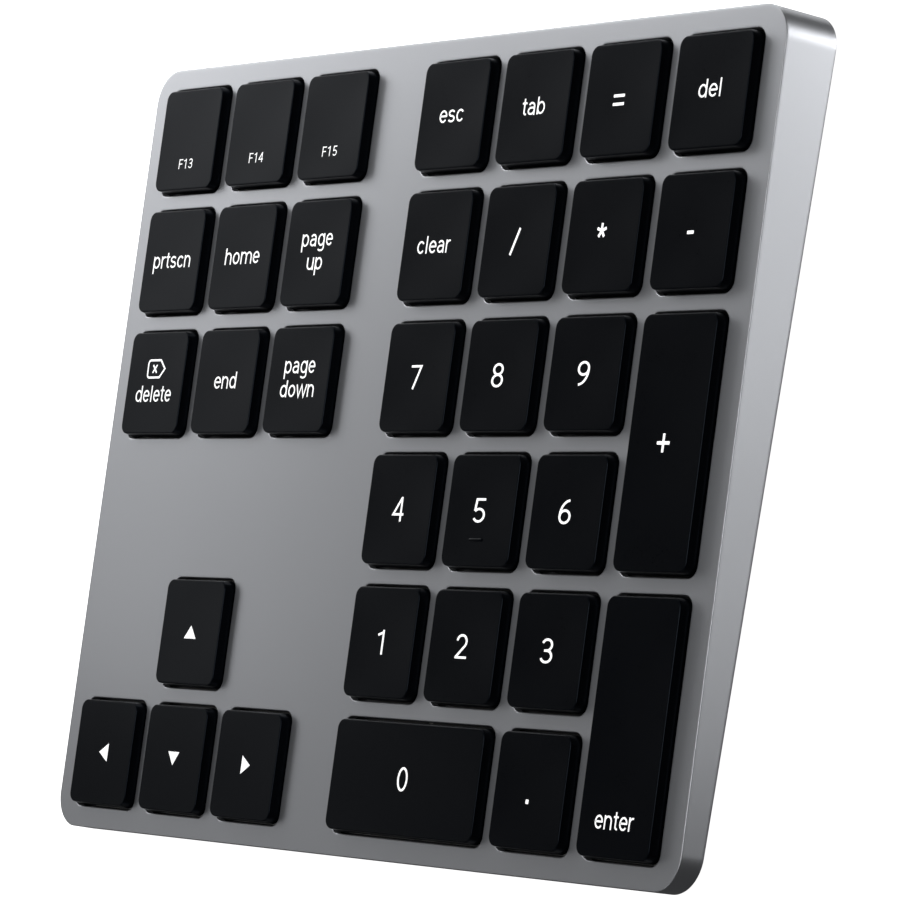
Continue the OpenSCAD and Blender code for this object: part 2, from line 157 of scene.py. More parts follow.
def insideLoops(points, loops):
    # even-odd rule: count the loop edges that a ray to the right of each point crosses
    crossings = np.zeros(len(points), int)
    for loop in loops:
        a, b = loop, np.roll(loop, -1, 0)
        px, py = points[:, 0, None], points[:, 1, None]
        spans = (a[:, 1] > py) != (b[:, 1] > py)
        rise = np.where(b[:, 1] == a[:, 1], 1, b[:, 1] - a[:, 1])
        crossings += (spans & (px < a[:, 0] + (b[:, 0] - a[:, 0]) * (py - a[:, 1]) / rise)).sum(1)
    return crossings % 2 == 1


def cutTriangles(loops, nearness):
    # Triangles that fill the plane round all the loops, with every loop edge kept; they turn
    # left. The cutter works in millimetres.
    flat = np.concatenate(loops) / mm
    edges, start = [], 0
    for loop in loops:
        n = len(loop)
        edges += [(start + i, start + (i + 1) % n) for i in range(n)]
        start += n
    found = delaunay_2d_cdt([Vector(p) for p in flat], edges, [], 0, nearness)
    points = np.array([tuple(p) for p in found[0]]) * mm
    triangles = np.array([tuple(f) for f in found[2]])
    corner = points[triangles]
    first, second = corner[:, 1] - corner[:, 0], corner[:, 2] - corner[:, 0]
    wrong = first[:, 0] * second[:, 1] - first[:, 1] * second[:, 0] < 0
    triangles[wrong] = triangles[wrong][:, ::-1]
    return points, triangles, corner.mean(1)


def filledSheet(loops, lift, up=True):
    # Flat sheet between an outer loop and the holes in it; lift turns its 2-D points into
    # 3-D ones. Triangles are kept where the even-odd rule says that they are inside.
    points, triangles, middles = cutTriangles(loops, 1e-7)
    kept = triangles[insideLoops(middles, loops)]
    return lift(points), [tuple(t) for t in (kept if up else kept[:, ::-1]).tolist()]


def boxShape(low, high):
    # the eight corners of a box, and its six sides
    x, y, z = zip(low, high)
    points = [(x[i], y[j], z[k]) for i in (0, 1) for j in (0, 1) for k in (0, 1)]
    faces = [(0, 1, 3, 2), (4, 6, 7, 5), (0, 4, 5, 1), (2, 3, 7, 6), (0, 2, 6, 4), (1, 5, 7, 3)]
    return np.array(points, float), faces


def joined(shapes):
    points, faces, start = [], [], 0
    for shapePoints, shapeFaces in shapes:
        points.append(shapePoints)
        faces += [tuple(i + start for i in f) for f in shapeFaces]
        start += len(shapePoints)
    return np.concatenate(points), faces


def faceOutward(piece):
    # each closed shell of the piece gets its faces turned outward
    work = bmesh.new()
    work.from_mesh(piece.data)
    bmesh.ops.recalc_face_normals(work, faces=work.faces)
    work.to_mesh(piece.data)
    work.free()


def makePiece(name, shapes, materials, merge=1e-7, smoothAngle=32, place=fromDeck):
    # shapes: one list of shapes for each material, in deck coordinates
    groups = [joined(group) for group in shapes]
    points, faces = joined(groups)
    mesh = bpy.data.meshes.new(name)
    mesh.from_pydata(place(points).tolist(), [], faces)
    marks = np.concatenate([np.full(len(g[1]), k) for k, g in enumerate(groups)])
    mesh.polygons.foreach_set("material_index", marks.astype(np.int32))
    for material in materials:
        mesh.materials.append(material)
    work = bmesh.new()
    work.from_mesh(mesh)
    bmesh.ops.remove_doubles(work, verts=work.verts, dist=merge)
    work.to_mesh(mesh)
    work.free()
    mesh.shade_smooth()
    mesh.set_sharp_from_angle(angle=math.radians(smoothAngle))
    piece = bpy.data.objects.new(name, mesh)
    bpy.context.scene.collection.objects.link(piece)
    return piece


# materials


class Signal:
    # A number that changes over a surface; sums and products of it add Math nodes
    def __init__(self, finish, socket):
        self.finish = finish
        self.socket = socket

    def math(self, operation, first, second):
        return self.finish.signal("ShaderNodeMath", {"operation": operation}, {0: first, 1: second})

    def __add__(self, other):
        return self.math("ADD", self, other)

    def __mul__(self, other):
        return self.math("MULTIPLY", self, other)

    def __sub__(self, other):
        return self.math("SUBTRACT", self, other)

    def __rsub__(self, other):
        return self.math("SUBTRACT", other, self)

    __radd__ = __add__
    __rmul__ = __mul__


class Finish:
    # One material and the nodes in it
    def __init__(self, name, **values):
        self.material = bpy.data.materials.new(name)
        self.material.use_nodes = True
        self.tree = self.material.node_tree
        self.shader = self.tree.nodes["Principled BSDF"]
        for socket, value in values.items():
            self.set(self.shader, socket.replace("_", " "), value)
        self.place = self.node("ShaderNodeTexCoord").outputs["Object"]

    def set(self, node, socket, value):
        value = getattr(value, "socket", value)
        if isinstance(value, bpy.types.NodeSocket):
            self.tree.links.new(value, node.inputs[socket])
        else:
            node.inputs[socket].default_value = value

    def node(self, kind, settings=None, sockets=None):
        made = self.tree.nodes.new(kind)
        for name, value in (settings or {}).items():
            if name == "stops":
                for stop, (position, colour) in zip(made.color_ramp.elements, value):
                    stop.position, stop.color = position, colour
            else:
                setattr(made, name, value)
        for socket, value in (sockets or {}).items():
            self.set(made, socket, value)
        return made

    def signal(self, kind, settings=None, sockets=None, output=0):
        return Signal(self, self.node(kind, settings, sockets).outputs[output])

    def noise(self, size, detail=2.0, roughness=0.5, stretch=(1, 1, 1)):
        # noise whose patches are about size metres across
        placed = self.node("ShaderNodeMapping", {}, {"Vector": self.place, "Scale": stretch})
        return self.signal("ShaderNodeTexNoise", {}, {
            "Vector": placed.outputs[0], "Scale": 1 / size, "Detail": detail, "Roughness": roughness})

    def mix(self, factor, first, second):
        mixed = self.node("ShaderNodeMix", {"data_type": "RGBA"}, {0: factor, 6: first, 7: second})
        return mixed.outputs[2]

    def bump(self, height, strength, distance):
        return self.node("ShaderNodeBump", {}, {
            "Height": height, "Strength": strength, "Distance": distance}).outputs[0]

    def feed(self, **values):
        for socket, value in values.items():
            self.set(self.shader, socket.replace("_", " "), value)
        return self.material


def rgb(*levels):
    # one level is a grey
    return (*(levels if len(levels) == 3 else levels * 3), 1.0)


anodise = {"colour": rgb(0.520, 0.532, 0.560), "light": rgb(0.575, 0.588, 0.618), "roughness": 0.42,
           "grain": 0.00016, "relief": 0.000004}


def anodisedAluminium():
    # bead-blasted and dyed: fine even grain, and faint cloudiness in the dye
    f = Finish("anodisedAluminium", Metallic=1.0)
    grain = f.noise(anodise["grain"], detail=3)
    cloud = f.noise(0.03, detail=1)
    return f.feed(
        Base_Color=f.mix(0.5 * grain + 0.5 * cloud, anodise["colour"], anodise["light"]),
        Roughness=anodise["roughness"] + 0.08 * (grain - 0.5),
        Normal=f.bump(grain, 0.35, anodise["relief"]))


capPlastic = {"colour": rgb(0.0006, 0.0009, 0.0018), "worn": rgb(0.0009, 0.0013, 0.0025), "roughness": 0.30,
              "grain": 0.00022, "relief": 0.000003}


def keyPlastic():
    # satin black with a fine moulded texture
    f = Finish("keyPlastic", Specular_IOR_Level=0.098, Specular_Tint=rgb(0.66, 0.80, 1.0))
    grain = f.noise(capPlastic["grain"], detail=2)
    patch = f.noise(0.006, detail=2)
    return f.feed(
        Base_Color=f.mix(patch, capPlastic["colour"], capPlastic["worn"]),
        Roughness=capPlastic["roughness"] + 0.10 * (grain - 0.5) + 0.04 * (patch - 0.5),
        Normal=f.bump(grain, 0.25, capPlastic["relief"]))


def legendInkWithPaintedGlow():
    # white, a little uneven as laser-etched paint is; its emission is a painted glow that makes the print shine
    # brighter than the lamps alone light it
    f = Finish("legendInkWithPaintedGlow", Roughness=0.5, Emission_Strength=0.75)
    patch = f.noise(0.0004)
    shade = f.mix(patch, rgb(0.86), rgb(0.94))
    return f.feed(Base_Color=shade, Emission_Color=shade)


def plainPlastic(name, dark, light, roughness, grain=0.0003, relief=0.000006, **values):
    # moulded plastic: two close tones, spark-eroded grain
    f = Finish(name, **values)
    fine = f.noise(grain, detail=2)
    broad = f.noise(0.008, detail=2)
    return f.feed(
        Base_Color=f.mix(broad, dark, light),
        Roughness=roughness + 0.12 * (fine - 0.5),
        Normal=f.bump(fine, 0.4, relief))


def plainMetal(name, dark, light, roughness, stretch=(1, 1, 1), grain=0.0002):
    # bright metal; stretch draws its grain out into brushing
    f = Finish(name, Metallic=1.0)
    fine = f.noise(grain, detail=3, stretch=stretch)
    broad = f.noise(0.005, detail=2)
    return f.feed(
        Base_Color=f.mix(0.6 * fine + 0.4 * broad, dark, light),
        Roughness=roughness + 0.15 * (fine - 0.5),
        Normal=f.bump(fine, 0.2, 0.000003))


def boardLaminate():
    # green solder mask over copper tracks, which show as a lighter raised network
    f = Finish("boardLaminate", Coat_Weight=0.4)
    cells = f.signal("ShaderNodeTexVoronoi", {"feature": "DISTANCE_TO_EDGE", "distance": "CHEBYCHEV"},
                     {"Vector": f.place, "Scale": 900.0})
    tracks = f.signal("ShaderNodeMath", {"operation": "LESS_THAN"}, {0: cells, 1: 0.08})
    return f.feed(
        Base_Color=f.mix(tracks, rgb(0.004, 0.045, 0.018), rgb(0.01, 0.09, 0.035)),
        Roughness=0.3 + 0.1 * tracks,
        Normal=f.bump(tracks, 0.5, 0.00002))


materialFor = {
    "anodised_aluminium": anodisedAluminium(),
    "key_plastic": keyPlastic(),
    "cover_plastic": plainPlastic("coverPlastic", rgb(0.030, 0.030, 0.032), rgb(0.038, 0.038, 0.041), 0.55),
    "foot_rubber": plainPlastic("footRubber", rgb(0.012, 0.012, 0.012), rgb(0.02, 0.02, 0.02), 0.75),
    "steel_screw": plainMetal("screwSteel", rgb(0.32), rgb(0.48), 0.35),
    "plate_steel": plainMetal("plateSteel", rgb(0.45, 0.45, 0.44), rgb(0.56, 0.56, 0.55), 0.4, (1, 12, 1)),
    "membrane_film": plainPlastic("membraneFilm", rgb(0.012), rgb(0.018), 0.3),
    "tail_film": plainPlastic("tailFilm", rgb(0.22, 0.10, 0.015), rgb(0.3, 0.15, 0.03), 0.3),
    "dome_silicone": plainPlastic("domeSilicone", rgb(0.045), rgb(0.06), 0.55),
    "scissor_plastic": plainPlastic("scissorPlastic", rgb(0.02), rgb(0.03), 0.4),
    "wire_steel": plainMetal("wireSteel", rgb(0.5), rgb(0.62), 0.25),
    "board_laminate": boardLaminate(),
    "connector_plastic": plainPlastic("connectorPlastic", rgb(0.6, 0.56, 0.45), rgb(0.68, 0.64, 0.53), 0.5),
    "shield_metal": plainMetal("shieldMetal", rgb(0.5, 0.51, 0.53), rgb(0.62, 0.63, 0.65), 0.3),
    "inlet_steel": plainMetal("inletSteel", rgb(0.42), rgb(0.55), 0.3, (14, 1, 1)),
    "inlet_plastic": plainPlastic("inletPlastic", rgb(0.012), rgb(0.02), 0.45),
    "switch_plastic": plainPlastic("switchPlastic", rgb(0.012), rgb(0.02), 0.45),
    "light_plastic": plainPlastic("lightPlastic", rgb(0.75, 0.78, 0.8), rgb(0.82, 0.85, 0.87), 0.35),
    "battery_foil": plainMetal("batteryFoil", rgb(0.5, 0.5, 0.52), rgb(0.62, 0.62, 0.64), 0.4),
    "lead_insulation": plainPlastic("leadInsulation", rgb(0.4, 0.015, 0.012), rgb(0.5, 0.025, 0.02), 0.4),
}
# the legend ink glows with painted light of its own, as well as being white print
inkWithPaintedGlowMaterial = legendInkWithPaintedGlow()
for row in frame["record"]["subparts"]:
    node = frame["nodes"][row["node"]]
    node.data.materials.clear()
    node.data.materials.append(materialFor[row["material_slot"]])
print("materials made:", len(materialFor) + 1)

# top case

case = {
    "cornerRadius": 5.0 * mm, "edge": 0.09 * mm, "bottomEdge": 0.15 * mm, "wall": 1.4 * mm,
    "deck": 1.2 * mm, "hold": 0.35 * mm, "cutoutGap": 0.3 * mm, "cutoutRadius": 1.7 * mm,
    "cutoutEdge": 0.16 * mm, "edgeSteps": 4, "cutoutHold": 0.15 * mm, "cornerSteps": 28,
    "innerFillet": 0.3 * mm, "bottomChamfer": 0.1 * mm,
}
flatStart = case["cornerSteps"] + 1  # the back wall's flat middle starts at this point of an outline


def quarterRound(radius, steps):
    # pairs (in, down) along a quarter circle from the flat top to the upright side
    angle = np.linspace(0, math.pi / 2, steps + 1)
    return np.stack([radius * (1 - np.sin(angle)), radius * (1 - np.cos(angle))], 1)


def keyPlan(name):
    # centre, width and depth of a keycap, seen square to the deck
    low, high = deckBox(name)
    return (low[:2] + high[:2]) / 2, high[0] - low[0], high[1] - low[1]


def cutoutRing(name, grow):
    centre, width, depth = keyPlan(name)
    extra = 2 * (case["cutoutGap"] + grow)
    return centre + roundedRing(width + extra, depth + extra, case["cutoutRadius"] + grow, 8, 2, 0.4 * mm)


backWall = {
    "inletGap": 0.23 * mm, "lightGap": 0.05 * mm, "slot": (5.4 * mm, 1.9 * mm), "scoop": (8.0 * mm, 3.0 * mm),
    "scoopDepth": 0.5 * mm, "scoopSlope": 0.15 * mm, "lip": 0.12 * mm,
}


def backHoles():
    # places on the back wall: x, deck height, width and height of each opening
    wallY = caseHigh[1]
    holes = {}
    for name, node in (("inlet", "usb_c_shell"), ("light", "light_pipe")):
        low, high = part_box(node)
        gap = 2 * backWall[name + "Gap"]
        z = heightOnDeck(wallY, (low.z + high.z) / 2)
        holes[name] = ((low.x + high.x) / 2, z, high.x - low.x + gap, high.z - low.z + gap)
    low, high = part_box("power_switch_body")
    knobLow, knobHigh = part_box("power_switch_knob")
    z = heightOnDeck(wallY, (knobLow.z + knobHigh.z) / 2)
    holes["power"] = ((low.x + high.x) / 2, z, *backWall["slot"])
    holes["scoop"] = ((low.x + high.x) / 2, z, *backWall["scoop"])
    return holes


def capsule(hole, grow=0.0):
    # the outline of an opening with round ends
    x, z, width, height = hole
    ring = roundedRing(width + 2 * grow, height + 2 * grow, height / 2 + grow - 1e-6, 10, 1)
    return ring + np.array([x, z])


def onWall(ring, y):
    # a ring drawn in x and z, stood up at depth y
    return np.column_stack([ring[:, 0], np.broadcast_to(y, len(ring)), ring[:, 1]])


def topCase():
    # One outline is carried down the outside, under the rim and up the inside. The deck, its
    # underside and the back wall are flat sheets with holes, and every hole has its own sleeve.
    width, depth = caseHigh[:2] - caseLow[:2]
    radius, edge, wall, hold = case["cornerRadius"], case["edge"], case["wall"], case["hold"]

    def outline(inset):
        ring = roundedRing(width - 2 * inset, depth - 2 * inset, radius - inset, case["cornerSteps"], 1, hold)
        return caseMiddle + ring

    def level(inset, down):
        return atHeight(outline(inset), deckTop - down)

    def bottom(inset, up):
        ring = outline(inset)
        return atHeight(ring, heightOnDeck(ring[:, 1], caseFloor + up))

    rim = case["bottomEdge"]
    outer = [level(edge + hold, 0)]
    outer += [level(i, d) for i, d in quarterRound(edge, case["edgeSteps"])]
    outer += [level(0, edge + hold)]
    lower = [bottom(0, rim + hold), bottom(0, rim), bottom(rim * 0.3, rim * 0.3), bottom(rim, 0)]
    foot, fillet = case["bottomChamfer"], case["innerFillet"]
    inner = [bottom(wall - foot, 0), bottom(wall, foot), bottom(wall, foot + fillet)]
    roof = [level(wall, case["deck"] + fillet), level(wall, case["deck"])]

    # the back wall's flat middle is left out of the sweep and filled round its openings
    ringLength = len(outline(0))
    holes = backHoles()
    outerY, innerY = outline(0)[flatStart][1], outline(wall)[flatStart][1]

    def sweep(rows, gapRow=None):
        points, faces = ringStack(rows)
        if gapRow is None:
            return points, faces
        missing = gapRow * ringLength + flatStart
        return points, [f for f in faces if f[0] != missing]

    shapes = [sweep(outer + lower, len(outer) - 1), sweep([lower[-1]] + inner), sweep([inner[-1]] + roof, 0)]

    def wallLoop(top, bottomRing):
        corners = np.vstack([top[flatStart:flatStart + 2], bottomRing[flatStart:flatStart + 2][::-1]])
        return corners[:, [0, 2]]

    def standing(y):
        return lambda points: onWall(points, y)

    lip, slope = backWall["lip"], backWall["scoopSlope"]
    outside = [capsule(holes["inlet"], lip), capsule(holes["scoop"], lip), capsule(holes["light"], lip)]
    inside = [capsule(holes["inlet"]), capsule(holes["power"]), capsule(holes["light"])]
    shapes.append(filledSheet([wallLoop(outer[-1], lower[0])] + outside, standing(outerY), up=False))
    shapes.append(filledSheet([wallLoop(roof[0], inner[-1])] + inside, standing(innerY)))
    for name in ("inlet", "light"):
        shapes.append(ringStack([onWall(capsule(holes[name], lip), outerY),
                                 onWall(capsule(holes[name]), outerY - lip),
                                 onWall(capsule(holes[name]), innerY)]))
    floorY = outerY - backWall["scoopDepth"]
    shapes.append(ringStack([onWall(capsule(holes["scoop"], lip), outerY),
                             onWall(capsule(holes["scoop"]), outerY - lip),
                             onWall(capsule(holes["scoop"], -slope), floorY)]))
    shapes.append(filledSheet([capsule(holes["scoop"], -slope), capsule(holes["power"])],
                              standing(floorY), up=False))
    shapes.append(ringStack([onWall(capsule(holes["power"]), y) for y in (floorY, innerY)]))

    # deck and its underside, round the key openings
    cutEdge, cutHold = case["cutoutEdge"], case["cutoutHold"]
    topHoles = [cutoutRing(n, cutEdge + cutHold) for n in keyNames]
    underHoles = [cutoutRing(n, 0) for n in keyNames]
    shapes.append(filledSheet([outline(edge + hold)] + topHoles, lambda p: atHeight(p, deckTop)))
    under = deckTop - case["deck"]
    shapes.append(filledSheet([outline(wall)] + underHoles, lambda p: atHeight(p, under), up=False))
    for name in keyNames:
        rows = [atHeight(cutoutRing(name, cutEdge + cutHold), deckTop)]
        rows += [atHeight(cutoutRing(name, i), deckTop - d) for i, d in quarterRound(cutEdge, 3)]
        rows += [atHeight(cutoutRing(name, 0), z) for z in (deckTop - cutEdge - cutHold, under)]
        shapes.append(ringStack(rows[::-1]))
    return makePiece("top_case_shell", [shapes], [materialFor["anodised_aluminium"]])


caseShell = topCase()
faceOutward(caseShell)
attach(caseShell, "root")
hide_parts("top_case")
print("top case:", len(caseShell.data.polygons), "faces")

# keycaps and legends

cap = {
    "radius": 1.6 * mm, "draft": 0.20 * mm, "bevel": 0.19 * mm, "bevelSteps": 5, "dish": 0.10 * mm,
    "skirt": 0.8 * mm, "roof": 0.8 * mm, "rise": 1.4 * mm, "skirtDepth": 0.5 * mm, "rim": 0.1 * mm,
    "flatEdge": 0.12 * mm, "smallestRadius": 0.2 * mm, "dishInset": 0.4 * mm,
}
dishRings = (1, 0.93, 0.82, 0.66, 0.46, 0.24, 0.06)
roofRings = (0.1, 0.5, 1)
legend = {
    "thick": 0.02 * mm, "sink": 0.01 * mm, "lineWidth": 0.138, "digitLine": 0.094, "curveSteps": 22,
    "digitHeight": 3.42 * mm, "digitWidth": 2.6, "digitShift": -0.3 * mm,
    "wordHeight": 1.85 * mm, "smallHeight": 1.5 * mm,
}


def capSurface(name):
    # The top is a shallow dish: its depth falls off with the squares of x and y
    centre, width, depth = keyPlan(name)
    top = deckTop + cap["rise"]
    halfX, halfY = width / 2 - cap["dishInset"], depth / 2 - cap["dishInset"]

    def height(x, y):
        u = np.clip(np.abs(x - centre[0]) / halfX, 0, 1)
        v = np.clip(np.abs(y - centre[1]) / halfY, 0, 1)
        return top - cap["dish"] * (1 - u ** 2) * (1 - v ** 2)

    return height


def capShape(name):
    # rounded rectangles from the middle of the inner roof, down inside the skirt, round its rim,
    # up the outside with a little draft, over the soft edge and in across the dish
    centre, width, depth = keyPlan(name)
    top, bottom = deckTop + cap["rise"], deckTop - cap["skirtDepth"]
    ceiling = top - cap["roof"]
    skirt, rim, draft, bevel = cap["skirt"], cap["rim"], cap["draft"], cap["bevel"]
    height = capSurface(name)

    def ring(inset, z):
        radius = max(cap["radius"] - inset, cap["smallestRadius"])
        return atHeight(centre + roundedRing(width - 2 * inset, depth - 2 * inset, radius, 8, 8), z)

    rows = [centreScaled(ring(skirt + 0.3 * mm, ceiling), centre, t) for t in roofRings]
    rows += [ring(skirt + 0.08 * mm, ceiling), ring(skirt, ceiling - rim), ring(skirt, bottom + rim)]
    rows += [ring(skirt - rim, bottom), ring(rim, bottom), ring(0.0, bottom + rim)]
    rows.append(ring(draft * 0.9, top - bevel - 0.15 * mm))
    rows += [ring(draft + i, top - d) for i, d in quarterRound(bevel, cap["bevelSteps"])[::-1]]
    edge = ring(draft + bevel + cap["flatEdge"], top)
    for t in dishRings:
        row = centreScaled(edge, centre, t)
        row[:, 2] = height(row[:, 0], row[:, 1])
        rows.append(row)
    return ringStack(rows, closeStart=True, closeEnd=True)


def centreScaled(ring, centre, t):
    # the ring drawn in towards its centre by the factor t
    out = ring.copy()
    out[:, :2] = centre + (ring[:, :2] - centre) * t
    return out


def arc(x, y, radiusX, radiusY, start, end):
    # centre plus the two radii times cosine and sine, from one angle to the other
    turns = np.radians(np.linspace(start, end, legend["curveSteps"]))
    return np.stack([x + radiusX * np.cos(turns), y + radiusY * np.sin(turns)], 1)


def stroke(*parts):
    return np.concatenate([np.atleast_2d(np.array(part, float)) for part in parts])


def ribbon(path, width):
    # Outline of a line of even width: each point goes out along the mean of its two
    # neighbouring normals, by half the width over the cosine of half the bend.
    path = path[np.r_[True, np.linalg.norm(np.diff(path, axis=0), axis=1) > 1e-9]]
    step = np.diff(path, axis=0)
    step = step / np.linalg.norm(step, axis=1)[:, None]
    closed = np.linalg.norm(path[0] - path[-1]) < 1e-9
    before = np.vstack([step[-1] if closed else step[0], step])
    after = np.vstack([step, step[0] if closed else step[-1]])
    mean = before + after
    mean = mean / np.linalg.norm(mean, axis=1)[:, None]
    reach = width / 2 / np.maximum((mean * after).sum(1), 0.45)
    side = np.stack([-mean[:, 1], mean[:, 0]], 1) * reach[:, None]
    return np.vstack([path + side, (path - side)[::-1]])


# Letters as the middle lines of their strokes. Small letters are one unit tall to the top
# of an x, capitals and digits one unit tall; each has its advance and its strokes.
bowl = arc(0.52, 0.5, 0.36, 0.417, 0, 360)
letters = {
    "a": (1.02, [stroke((0.80, 0), (0.80, 0.62), arc(0.49, 0.62, 0.31, 0.297, 0, 150)),
                 stroke((0.80, 0.555), (0.47, 0.555), arc(0.45, 0.32, 0.295, 0.237, 90, 305), (0.80, 0.28))]),
    "b": (1.06, [stroke((0.16, 0), (0.16, 1.34)), bowl]),
    "c": (0.98, [arc(0.52, 0.5, 0.36, 0.417, 38, 322)]),
    "d": (1.06, [stroke((0.88, 0), (0.88, 1.34)), bowl]),
    "e": (1.01, [stroke((0.16, 0.52), (0.87, 0.52), arc(0.52, 0.5, 0.36, 0.417, 4, 322))]),
    "g": (1.06, [bowl, stroke((0.88, 1.0), arc(0.52, -0.12, 0.36, 0.217, 0, -150))]),
    "h": (1.02, [stroke((0.16, 0), (0.16, 1.34)), stroke(arc(0.50, 0.58, 0.34, 0.337, 180, 0), (0.84, 0))]),
    "l": (0.44, [stroke((0.22, 0), (0.22, 1.34))]),
    "m": (1.64, [stroke((0.16, 0), (0.16, 1.0)), stroke(arc(0.49, 0.58, 0.33, 0.337, 180, 0), (0.82, 0)),
                 stroke(arc(1.15, 0.58, 0.33, 0.337, 180, 0), (1.48, 0))]),
    "n": (1.02, [stroke((0.16, 0), (0.16, 1.0)), stroke(arc(0.50, 0.58, 0.34, 0.337, 180, 0), (0.84, 0))]),
    "o": (1.05, [bowl]),
    "p": (1.06, [stroke((0.16, -0.42), (0.16, 1.0)), bowl]),
    "r": (0.64, [stroke((0.16, 0), (0.16, 1.0)), arc(0.52, 0.56, 0.36, 0.357, 180, 80)]),
    "s": (0.95, [stroke(arc(0.47, 0.71, 0.29, 0.207, 22, 252), arc(0.47, 0.29, 0.31, 0.207, 72, -160))]),
    "t": (0.62, [stroke((0.30, 1.27), arc(0.49, 0.28, 0.19, 0.197, 180, 285)),
                 stroke((0.06, 0.92), (0.56, 0.92))]),
    "u": (1.02, [stroke((0.84, 0), (0.84, 1.0)),
                 stroke((0.16, 1.0), arc(0.50, 0.42, 0.34, 0.337, 180, 360))]),
    "w": (1.40, [stroke((0.08, 1.0), (0.39, 0.02), (0.71, 0.94), (1.03, 0.02), (1.34, 1.0))]),
    "x": (0.90, [stroke((0.08, 0), (0.82, 1.0)), stroke((0.82, 0), (0.08, 1.0))]),
    "F": (0.72, [stroke((0.15, 0), (0.15, 1.0)), stroke((0.15, 0.935), (0.66, 0.935)),
                 stroke((0.15, 0.50), (0.60, 0.50))]),
}
digits = {
    "0": (0.79, [arc(0.395, 0.5, 0.245, 0.44, 0, 360)]),
    "1": (0.79, [stroke((0.15, 0.79), (0.45, 0.90)), stroke((0.45, 0), (0.45, 1.0))]),
    "2": (0.79, [stroke(arc(0.39, 0.69, 0.24, 0.25, 172, -38), (0.14, 0.06)),
                 stroke((0.11, 0.06), (0.70, 0.06))]),
    "3": (0.79, [arc(0.38, 0.725, 0.225, 0.215, 160, -90), arc(0.38, 0.285, 0.25, 0.225, 90, -160),
                 stroke((0.26, 0.51), (0.40, 0.51))]),
    "4": (0.79, [stroke((0.56, 0), (0.56, 1.0)), stroke((0.545, 0.97), (0.11, 0.29), (0.72, 0.29))]),
    "5": (0.79, [stroke((0.66, 0.94), (0.25, 0.94), (0.20, 0.48)), arc(0.40, 0.31, 0.25, 0.25, 140, -150)]),
    "6": (0.79, [arc(0.40, 0.305, 0.245, 0.245, 0, 360), arc(0.62, 0.34, 0.465, 0.60, 182, 94)]),
    "7": (0.79, [stroke((0.10, 0.94), (0.665, 0.94), (0.29, 0))]),
    "8": (0.79, [arc(0.395, 0.735, 0.215, 0.205, 0, 360), arc(0.395, 0.29, 0.245, 0.23, 0, 360)]),
}
digits["9"] = (0.79, [np.array([0.79, 1.0]) - path for path in digits["6"][1]])


def lettering(text, height, width, base, shift=0.0):
    # outlines of a word, height being that of one unit, spread to the given width
    loops, start = [], 0.0
    for letter in text:
        isSmall = letter in letters and letter != "F"
        advance, paths = letters[letter] if letter in letters else digits[letter]
        line = legend["lineWidth"] if isSmall else legend["digitLine"]
        loops += [ribbon(path, line) + np.array([start, 0]) for path in paths]
        start += advance
    low = min(loop[:, 0].min() for loop in loops)
    high = max(loop[:, 0].max() for loop in loops)
    stretch = width / (high - low)
    return [np.column_stack([(loop[:, 0] - (low + high) / 2) * stretch + shift, loop[:, 1] * height + base])
            for loop in loops]


def bar(length, thickness, angle=0.0, x=0.0, y=0.0):
    # a flat bar, turned about its middle
    ring = roundedRing(length, thickness, thickness * 0.15, 3, 1)
    c, s = math.cos(math.radians(angle)), math.sin(math.radians(angle))
    return ring @ np.array([(c, s), (-s, c)]) + np.array([x, y])


def arrow(angle, base, rise):
    # a triangle that points along +y, turned
    ring = np.array([(-base / 2, -rise / 2), (base / 2, -rise / 2), (0, rise / 2)])
    c, s = math.cos(math.radians(angle)), math.sin(math.radians(angle))
    return ring @ np.array([(c, s), (-s, c)])


def deleteIcon():
    # a tag with rounded left corners that points right, and a small cross inside it
    left, shoulder, tip, half, radius = -2.3, 1.0, 2.3, 1.3, 0.55
    path = stroke((0, -half), (shoulder, -half), (tip, 0), (shoulder, half),
                  arc(left + radius, half - radius, radius, radius, 90, 180),
                  arc(left + radius, radius - half, radius, radius, 180, 270), (0, -half))
    centre = np.array([-0.14, 2.1])
    cross = [(bar(1.6, 0.3, turn, -0.42, 0) + centre) * mm for turn in (47, -47)]
    return [(ribbon(path, 0.3) + centre) * mm] + cross


wordMarks = {
    # text, width, baseline and sideways shift, in millimetres
    "f13": [("F13", 3.65, -4.45, 0)], "f14": [("F14", 3.65, -4.45, 0)], "f15": [("F15", 3.65, -4.45, 0)],
    "print_screen": [("prtscn", 10.0, -1.1, 0)], "home": [("home", 9.0, -1.1, 0)],
    "end": [("end", 5.7, -1.1, 0)],
    "page_up": [("page", 7.7, 0.9, 0), ("up", 3.8, -2.55, 0)],
    "page_down": [("page", 7.7, 0.9, 0), ("down", 8.5, -2.55, 0)],
    "delete": [("delete", 9.65, -2.9, 0)], "escape": [("esc", 5.5, -1.1, -0.25)],
    "tab": [("tab", 5.1, -1.1, -0.25)], "del": [("del", 4.6, -0.9, -0.25)],
    "clear": [("clear", 7.7, -1.1, -0.25)], "enter": [("enter", 8.0, -13.3, -0.3)],
}
digitWidths = {"1": 1.5, "0": 2.36, "4": 2.75}  # in millimetres, where not the usual width
arrowMarks = {
    # angle, base and height, in millimetres
    "up": (0, 3.1, 1.9), "left": (90, 2.7, 2.36), "down": (180, 2.86, 1.96), "right": (270, 2.64, 2.14),
}
starArms = np.radians(np.arange(5) * 72)
signMarks = {
    # length, thickness, angle, x and y of each bar, in millimetres
    "equals": [(2.36, 0.4, 0, -0.4, 0.45), (2.36, 0.4, 0, -0.4, -0.7)],
    "divide": [(4.05, 0.4, 66, -0.4, -0.1)],
    "multiply": [(1.1, 0.42, 90 + 72 * k, -0.35 - 0.48 * math.sin(a), 0.7 + 0.48 * math.cos(a))
                 for k, a in enumerate(starArms)],
    "minus": [(1.36, 0.45, 0, -0.44, -0.23)],
    "plus": [(2.6, 0.45, 0, -0.4, -0.1), (2.5, 0.45, 90, -0.4, -0.1)],
    "point": [(0.62, 0.6, 0, -0.3, -1.45)],
}


